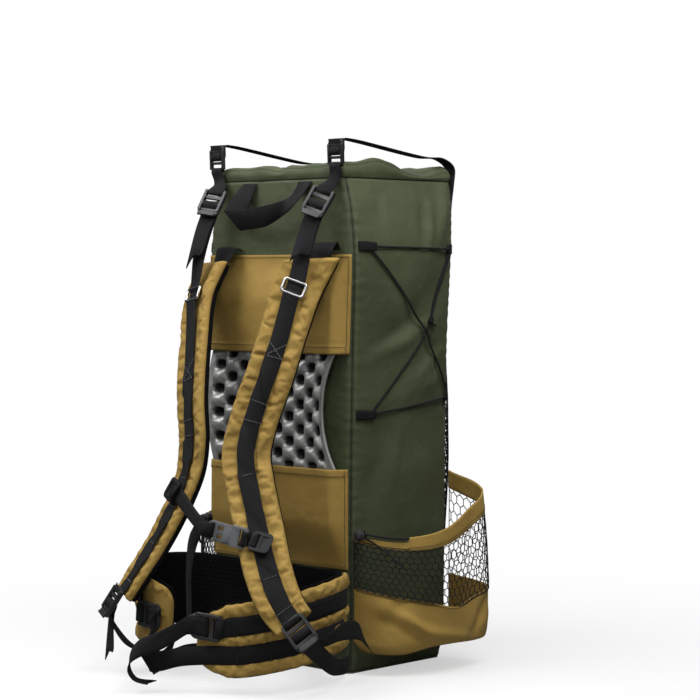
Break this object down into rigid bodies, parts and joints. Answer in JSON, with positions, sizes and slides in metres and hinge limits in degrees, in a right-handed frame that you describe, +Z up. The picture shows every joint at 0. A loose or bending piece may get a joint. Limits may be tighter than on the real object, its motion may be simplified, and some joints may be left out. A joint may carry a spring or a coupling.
{
  "type": "ultralight backpack",
  "caption": "Tall soft hiking backpack standing on its base, with an open rolled collar, foam back pad in sleeves, net pockets, laced sides, padded shoulder straps and hip belt.",
  "frame": {"origin": "on the flat base, midway between the side seams and under the middle of the bag", "axes": "+Z up towards the mouth, -Y towards the harness and the wearer, +X to the wearer's left"},
  "size_m": [0.4683, 0.5709, 0.7301],
  "materials": {
    "pack_cloth": "coated pack cloth, slightly shiny",
    "tan_cloth": "heavy woven nylon",
    "spacer_mesh": "matt spacer mesh",
    "net": "knitted stretch net",
    "shock_cord": "woven elastic cord",
    "webbing": "woven nylon webbing",
    "buckle": "moulded, satin",
    "steel": "bright wire",
    "foam": "closed-cell foam with a silvery face"
  },
  "bodies": {
    "root": {"side_panel_left": "pack_cloth", "side_pocket_base_left": "tan_cloth", "side_pocket_net_left": "net", "side_pocket_hem_left": "tan_cloth", "side_lacing_left": "shock_cord", "side_panel_right": "pack_cloth", "side_pocket_base_right": "tan_cloth", "side_pocket_net_right": "net", "side_pocket_hem_right": "tan_cloth", "side_lacing_right": "shock_cord", "base_panel": "pack_cloth", "back_panel": "pack_cloth", "front_panel": "pack_cloth", "collar": "pack_cloth", "back_pad": "foam", "upper_pad_sleeve": "tan_cloth", "lower_pad_sleeve": "tan_cloth", "front_pocket_net": "net", "front_pocket_hem": "tan_cloth", "shoulder_strap_left": "tan_cloth", "strap_lining_left": "spacer_mesh", "strap_buckle_left": "buckle", "strap_slider_left": "steel", "strap_webbing_left": "webbing", "lifter_buckle_left": "buckle", "load_lifter_left": "webbing", "lower_strap_left": "webbing", "shoulder_strap_right": "tan_cloth", "strap_lining_right": "spacer_mesh", "strap_buckle_right": "buckle", "strap_slider_right": "steel", "strap_webbing_right": "webbing", "lifter_buckle_right": "buckle", "load_lifter_right": "webbing", "lower_strap_right": "webbing", "strap_root_left": "webbing", "strap_root_right": "webbing", "top_buckle_left": "buckle", "top_tab_left": "webbing", "top_strap_left": "webbing", "top_buckle_right": "buckle", "top_tab_right": "webbing", "top_strap_right": "webbing", "haul_loop": "webbing", "sternum_buckle": "buckle", "sternum_slider_left": "buckle", "sternum_strap_left": "webbing", "sternum_slider_right": "buckle", "sternum_strap_right": "webbing", "hip_belt_lining": "spacer_mesh", "belt_buckle": "buckle", "hip_wing_left": "tan_cloth", "hip_ladder_left": "buckle", "hip_band_left": "webbing", "hip_strap_left": "webbing", "hip_wing_right": "tan_cloth", "hip_ladder_right": "buckle", "hip_band_right": "webbing", "hip_strap_right": "webbing"}
  },
  "joints": []
}
